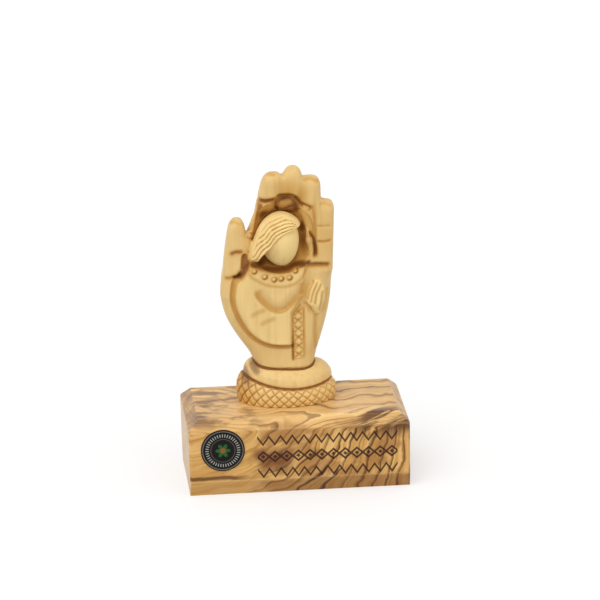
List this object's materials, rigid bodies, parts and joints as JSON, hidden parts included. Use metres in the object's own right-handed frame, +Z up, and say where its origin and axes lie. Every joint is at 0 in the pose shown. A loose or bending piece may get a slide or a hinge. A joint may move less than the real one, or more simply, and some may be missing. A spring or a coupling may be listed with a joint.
{
  "type": "carved wooden sculpture",
  "caption": "Wooden ornament: a carved upright hand with a small praying figure in its palm, standing on a bevelled block of figured wood with a plain round label.",
  "frame": {"origin": "middle of the block's underside, on the surface that it stands on", "axes": "+Z up, +X to the viewer's right along the block's width, -Y towards the viewer, palm and label in front"},
  "size_m": [0.1, 0.0515, 0.1438],
  "materials": {
    "figured_wood": "satin oiled olive wood with dark figure",
    "pale_wood": "satin oiled pale olive wood, recesses darkened",
    "screw_steel": "zinc plated",
    "label_black": "gloss"
  },
  "bodies": {
    "root": {"base_block": "figured_wood", "hand_carving": "pale_wood", "fixing_screw": "screw_steel", "round_label": "label_black"}
  },
  "joints": []
}
